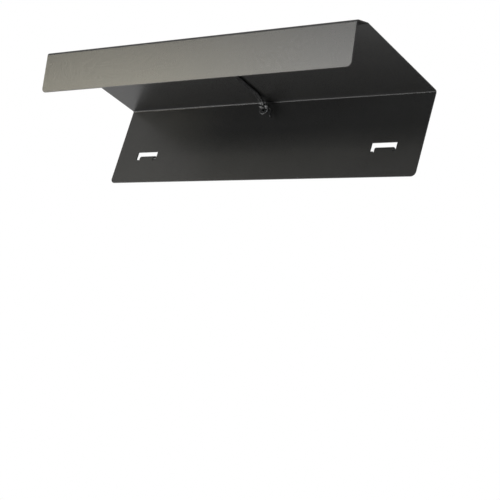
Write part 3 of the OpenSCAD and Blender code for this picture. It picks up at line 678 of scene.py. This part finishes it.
# %% Settled dust
settled_dust, given, where = effect("settled dust", Patches=60, Amount=0.3)
normal = add(settled_dust, "ShaderNodeNewGeometry").outputs["Normal"]
facing = add(settled_dust, "ShaderNodeSeparateXYZ", {"Vector": normal}).outputs["Z"]
clouds = noise(settled_dust, where, given["Patches"], 5)
lies = math_node(settled_dust, "MULTIPLY", ranged(settled_dust, facing, 0.3, 1.0),
                 ranged(settled_dust, clouds, 0.35, 0.75))
give(settled_dust, Mask=math_node(settled_dust, "MULTIPLY", lies, given["Amount"]))

# %% [markdown]
# ## Finishes
# One function builds a finish: an effect's tone runs the colour from a dark to a light value and
# the roughness between two values, and its height drives a bump. Grain, depth and patch size are
# in millimetres. What is the same all over, such as the metal or the clear coat, is set on the
# shader itself.

# %% A finish from an effect
TONE_RANGE = (0.3, 0.7)
DUST_COLOUR, DUST_ROUGHNESS = (0.30, 0.29, 0.27, 1), 0.4
METAL = {"Metallic": 1.0}


def mixed(tree, factor, first, second):
    feeds = {0: factor, 6: first, 7: second}
    return add(tree, "ShaderNodeMix", feeds, data_type="RGBA").outputs[2]


def grey(value):
    return (value, value, value, 1)


def finish(name, skin_group, dark, light, roughness, grain, depth, patch=30, dust=0, fixed=()):
    material = bpy.data.materials.new(name)
    material.use_nodes = True
    tree = material.node_tree
    shader = tree.nodes["Principled BSDF"]
    for socket, value in dict(fixed).items():
        shader.inputs[socket].default_value = value
    scales = {"Fineness": 1 / (grain * MM), "Patches": 1 / (patch * MM)}
    skin = add(tree, "ShaderNodeGroup", scales, node_tree=skin_group).outputs
    colour = mixed(tree, ranged(tree, skin["Tone"], *TONE_RANGE), dark, light)
    rough = ranged(tree, skin["Tone"], *TONE_RANGE, *roughness)
    if dust:
        veil = add(tree, "ShaderNodeGroup", {"Amount": dust}, node_tree=settled_dust).outputs
        colour = mixed(tree, veil["Mask"], colour, DUST_COLOUR)
        rough = math_node(tree, "MULTIPLY_ADD", veil["Mask"], DUST_ROUGHNESS, rough)
    relief = add(tree, "ShaderNodeBump", {"Height": skin["Height"], "Distance": depth * MM,
                                          "Strength": 1.0})
    tree.links.new(colour, shader.inputs["Base Color"])
    tree.links.new(rough, shader.inputs["Roughness"])
    tree.links.new(relief.outputs["Normal"], shader.inputs["Normal"])
    return material


# %% [markdown]
# The hood is sprayed with a fine satin powder coat, nearly black. It scatters light at low
# angles, which is why the lip looks grey where it mirrors the light. The metals behind it are
# extruded, drawn, stamped or plated, and the board has a white mask.

# %% Paint, metals and board
powder_coat = finish("powder coat", fine_grain, (0.013, 0.0128, 0.0123, 1),
                     (0.020, 0.0197, 0.019, 1), (0.25, 0.35), grain=0.6, depth=0.014, patch=60,
                     dust=0.05)
satin_aluminium = finish("satin aluminium", drawn_lines, grey(0.62), grey(0.76), (0.26, 0.4),
                         grain=0.25, depth=0.006, fixed=METAL)
drawn_steel = finish("drawn steel", drawn_lines, grey(0.55), grey(0.68), (0.2, 0.34),
                     grain=0.2, depth=0.004, fixed=METAL)
zinc_plate = finish("zinc plate", fine_grain, (0.52, 0.53, 0.56, 1), (0.66, 0.67, 0.69, 1),
                    (0.26, 0.42), grain=0.3, depth=0.006, patch=4, fixed=METAL)
bright_nickel = finish("bright nickel", fine_grain, (0.62, 0.61, 0.58, 1), (0.74, 0.73, 0.7, 1),
                       (0.12, 0.22), grain=0.4, depth=0.003, patch=5, fixed=METAL)
stamped_brass = finish("stamped brass", drawn_lines, (0.66, 0.46, 0.17, 1), (0.8, 0.6, 0.27, 1),
                       (0.22, 0.38), grain=0.2, depth=0.005, fixed=METAL)
spring_bronze = finish("spring bronze", drawn_lines, (0.64, 0.39, 0.21, 1), (0.78, 0.52, 0.31, 1),
                       (0.24, 0.36), grain=0.2, depth=0.005, fixed=METAL)
bare_copper = finish("bare copper", drawn_lines, (0.7, 0.37, 0.2, 1), (0.82, 0.5, 0.31, 1),
                     (0.22, 0.36), grain=0.15, depth=0.006, fixed=METAL)
bright_solder = finish("bright solder", fine_grain, grey(0.62), grey(0.78), (0.14, 0.3),
                       grain=0.35, depth=0.01, patch=2, fixed=METAL)
solder_mask = finish("white solder mask", fine_grain, (0.76, 0.77, 0.75, 1),
                     (0.84, 0.84, 0.82, 1), (0.32, 0.44), grain=0.5, depth=0.006, patch=8)
print("metals and coats", len(bpy.data.materials))

# %% [markdown]
# The plastics differ in gloss and grain: matt moulded cases, a glossy cord, waxy nylon, smooth
# rubber, a frosted diffuser, and the clear gel of the emitters.

# %% Plastics, rubber and cloth
moulded_case = finish("moulded case", fine_grain, grey(0.020), grey(0.032), (0.46, 0.6),
                      grain=0.35, depth=0.02, patch=10, dust=0.1)
smooth_rocker = finish("smooth rocker", fine_grain, grey(0.016), grey(0.024), (0.24, 0.36),
                       grain=0.8, depth=0.006, patch=6)
cord_jacket = finish("cord jacket", fine_grain, grey(0.011), grey(0.018), (0.12, 0.2),
                     grain=1.6, depth=0.008, patch=12,
                     fixed={"Specular IOR Level": 0.9, "Coat Weight": 0.7})
waxy_nylon = finish("waxy nylon", fine_grain, grey(0.014), grey(0.022), (0.22, 0.34),
                    grain=0.6, depth=0.008, patch=4, fixed={"Specular IOR Level": 0.8})
smooth_rubber = finish("smooth rubber", fine_grain, grey(0.016), grey(0.026), (0.2, 0.3),
                       grain=0.3, depth=0.006, patch=4, fixed={"Specular IOR Level": 1.0})
frosted_cover = finish("frosted cover", fine_grain, (0.84, 0.86, 0.87, 1), (0.92, 0.93, 0.94, 1),
                       (0.42, 0.54), grain=0.3, depth=0.01, patch=20,
                       fixed={"Transmission Weight": 0.45, "IOR": 1.49})
emitter_frame = finish("emitter frame", fine_grain, grey(0.78), grey(0.86), (0.36, 0.48),
                       grain=0.4, depth=0.004, patch=2)
yellow_gel = finish("yellow gel", fine_grain, (0.78, 0.5, 0.06, 1), (0.88, 0.62, 0.12, 1),
                    (0.14, 0.24), grain=0.5, depth=0.006, patch=1.5, fixed={"Coat Weight": 0.4})
black_film = finish("black film", fine_grain, grey(0.018), grey(0.03), (0.36, 0.5),
                    grain=0.3, depth=0.006, patch=2)
foam_tape = finish("foam tape", fine_grain, (0.58, 0.57, 0.54, 1), (0.74, 0.73, 0.7, 1),
                   (0.8, 0.95), grain=0.5, depth=0.06, patch=5)
insulator_yellow = finish("yellow insulator", fine_grain, (0.55, 0.42, 0.05, 1),
                          (0.68, 0.54, 0.1, 1), (0.32, 0.46), grain=0.4, depth=0.008, patch=4)
mark_white = finish("printed white", fine_grain, grey(0.62), grey(0.74), (0.45, 0.6),
                    grain=0.3, depth=0.006, patch=2)
# Painted shade: this near-black finish stands in for the shade inside the screws' cross recesses.
slot_shadow = finish("slot", fine_grain, grey(0.05), grey(0.09), (0.4, 0.55),
                     grain=0.3, depth=0.004, patch=2, fixed={"Metallic": 0.8})
woven_strap = finish("woven strap", strap_weave, grey(0.014), grey(0.05), (0.75, 0.92),
                     grain=0.09, depth=0.09, patch=3)
print("finishes", len(bpy.data.materials))

# %% [markdown]
# ## Dressing the pieces
# Each node and piece takes one finish. A CAD node's own slots are emptied first, so nothing of
# the plain colour is left.

# %% Assign the finishes
DRESS = [(powder_coat, ["hood"]), (satin_aluminium, ["led_channel"]),
         (foam_tape, ["channel_tape"]), (solder_mask, ["led_board"]),
         (emitter_frame, ["led_chips"]), (yellow_gel, ["led_gel"]),
         (black_film, ["led_resistors"]), (frosted_cover, ["diffuser"]),
         (bright_solder, ["resistor_ends", "board_pads", "solder_joints"]),
         (bare_copper, ["board_wires"]), (smooth_rubber, ["grommet_ring"]),
         (moulded_case, ["end_cap_left", "end_cap_right", "cord_clip", "switch_base",
                         "switch_cover", "plug_grip"]),
         (smooth_rocker, ["switch_rocker"]), (mark_white, ["rocker_marks"]),
         (slot_shadow, ["screw_slots"]), (waxy_nylon, ["cable_tie"]),
         (cord_jacket, ["inner_cord", "drop_cord", "long_cord", "through_wire"]),
         (drawn_steel, ["rocker_pin"]), (zinc_plate, ["switch_screws"]),
         (spring_bronze, ["contact_spring"]), (stamped_brass, ["switch_terminals"]),
         (bright_nickel, ["plug_barrel", "plug_contact"]),
         (insulator_yellow, ["plug_insulator"]), (woven_strap, ["hank_strap"])]
for material, names in DRESS:
    for name in names:
        obj = nodes[name] if name in nodes else bpy.data.objects[name]
        obj.data.materials.clear()
        obj.data.materials.append(material)
print("dressed", sum(len(names) for _, names in DRESS), "pieces")

# %% [markdown]
# ## Floor, lights and backdrop
# A large pale floor lies well below the light, out of the main view. It is a wide disc, so that
# its edge is a level horizon from every side. A floor that is lit only near the lamps would look
# dark far away, so the camera and reflections see most of it as an even pale tone, and the rest
# as lit paint that takes the object's shadow.

# %% Floor
FLOOR_Z, FLOOR_R, FLOOR_STEPS = -0.8, 20.0, 96
FLOOR_TONE, FLOOR_EVEN = 0.86, 0.7


def any_ray(tree, *kinds):
    ray = add(tree, "ShaderNodeLightPath").outputs
    mask = ray[f"Is {kinds[0]} Ray"]
    for kind in kinds[1:]:
        mask = math_node(tree, "MAXIMUM", mask, ray[f"Is {kind} Ray"])
    return mask


disc = bpy.data.meshes.new("floor")
rim = [(x, y, FLOOR_Z) for x, y in arc((0, 0), FLOOR_R, 0, 360, FLOOR_STEPS)[:-1]]
disc.from_pydata(rim, [], [tuple(range(FLOOR_STEPS))])
floor = new_object("floor", disc)
pale_floor = finish("pale floor", fine_grain, grey(0.76), grey(0.8), (0.7, 0.8), grain=5,
                    depth=0.02, patch=400)
paint = pale_floor.node_tree
even = add(paint, "ShaderNodeEmission", {"Color": grey(FLOOR_TONE), "Strength": 1.0}).outputs[0]
seen = any_ray(paint, "Camera", "Glossy", "Transmission")
part_even = math_node(paint, "MULTIPLY", seen, FLOOR_EVEN)
lit = paint.nodes["Principled BSDF"].outputs[0]
both = add(paint, "ShaderNodeMixShader", {0: part_even, 1: lit, 2: even})
paint.links.new(both.outputs[0], paint.nodes["Material Output"].inputs["Surface"])
floor.data.materials.append(pale_floor)
print("floor at", FLOOR_Z, "m")

# %% [markdown]
# Two soft keys stand side by side at the front left, level with the hood, so the lip mirrors both
# and the panel is lit from under the lip. The left one is the warmer, so the lip cools off to the
# right. A long strip lies low on the same side and draws the bright line along the bend of panel
# and roof. A small cool one near the camera gives the round things, the lead, the grommet and the
# tie, their thin lines. A soft light above shapes the top. The world is white to the camera, half
# as bright in reflections, so that the panel's open end stays dark, and a quiet fill to the rest.

# %% Lights
LIP, BEND = (0, -0.1, 0.03), (0, 0, 0.05)
scene.view_settings.view_transform = "Standard"


def softbox(name, at, aim, size, power, tint=(1, 1, 1)):
    data = bpy.data.lights.new(name, "AREA")
    data.shape = "RECTANGLE"
    data.size, data.size_y = size
    data.energy = power
    data.color = tint
    lamp = new_object(name, data)
    lamp.location = at
    lamp.rotation_euler = (Vector(aim) - Vector(at)).to_track_quat("-Z", "Y").to_euler()


softbox("key", (-1.2, -1.35, 0.02), LIP, size=(0.55, 0.3), power=6.7, tint=(1, 0.94, 0.75))
softbox("second key", (-0.74, -1.65, 0.02), LIP, size=(0.55, 0.3), power=7.6, tint=(0.99, 0.99, 1))
softbox("low", (-0.75, -0.2, -0.7), BEND, size=(1.6, 0.2), power=5.6)
softbox("front", (0.7, -1.1, -0.3), BEND, size=(0.3, 0.3), power=6.4, tint=(0.9, 0.96, 1))
softbox("above", (0.2, 0.3, 1.6), (0, 0, 0), size=(1.4, 1.4), power=16)
print("lights", len(bpy.data.lights))

# %% Backdrop
FILL, MIRRORED, WHITE = 0.34, 0.5, 1.0
world = bpy.data.worlds.new("studio")
scene.world = world
world.use_nodes = True
sky = world.node_tree
sky.nodes.clear()
fill, mirrored, white = [
    add(sky, "ShaderNodeBackground", {"Color": grey(1), "Strength": strength}).outputs[0]
    for strength in (FILL, MIRRORED, WHITE)]
unseen = add(sky, "ShaderNodeMixShader", {0: any_ray(sky, "Glossy"), 1: fill, 2: mirrored})
either = add(sky, "ShaderNodeMixShader", {0: any_ray(sky, "Camera", "Transmission"),
                                          1: unseen.outputs[0], 2: white})
add(sky, "ShaderNodeOutputWorld", {"Surface": either.outputs[0]})
print("world", world.name)
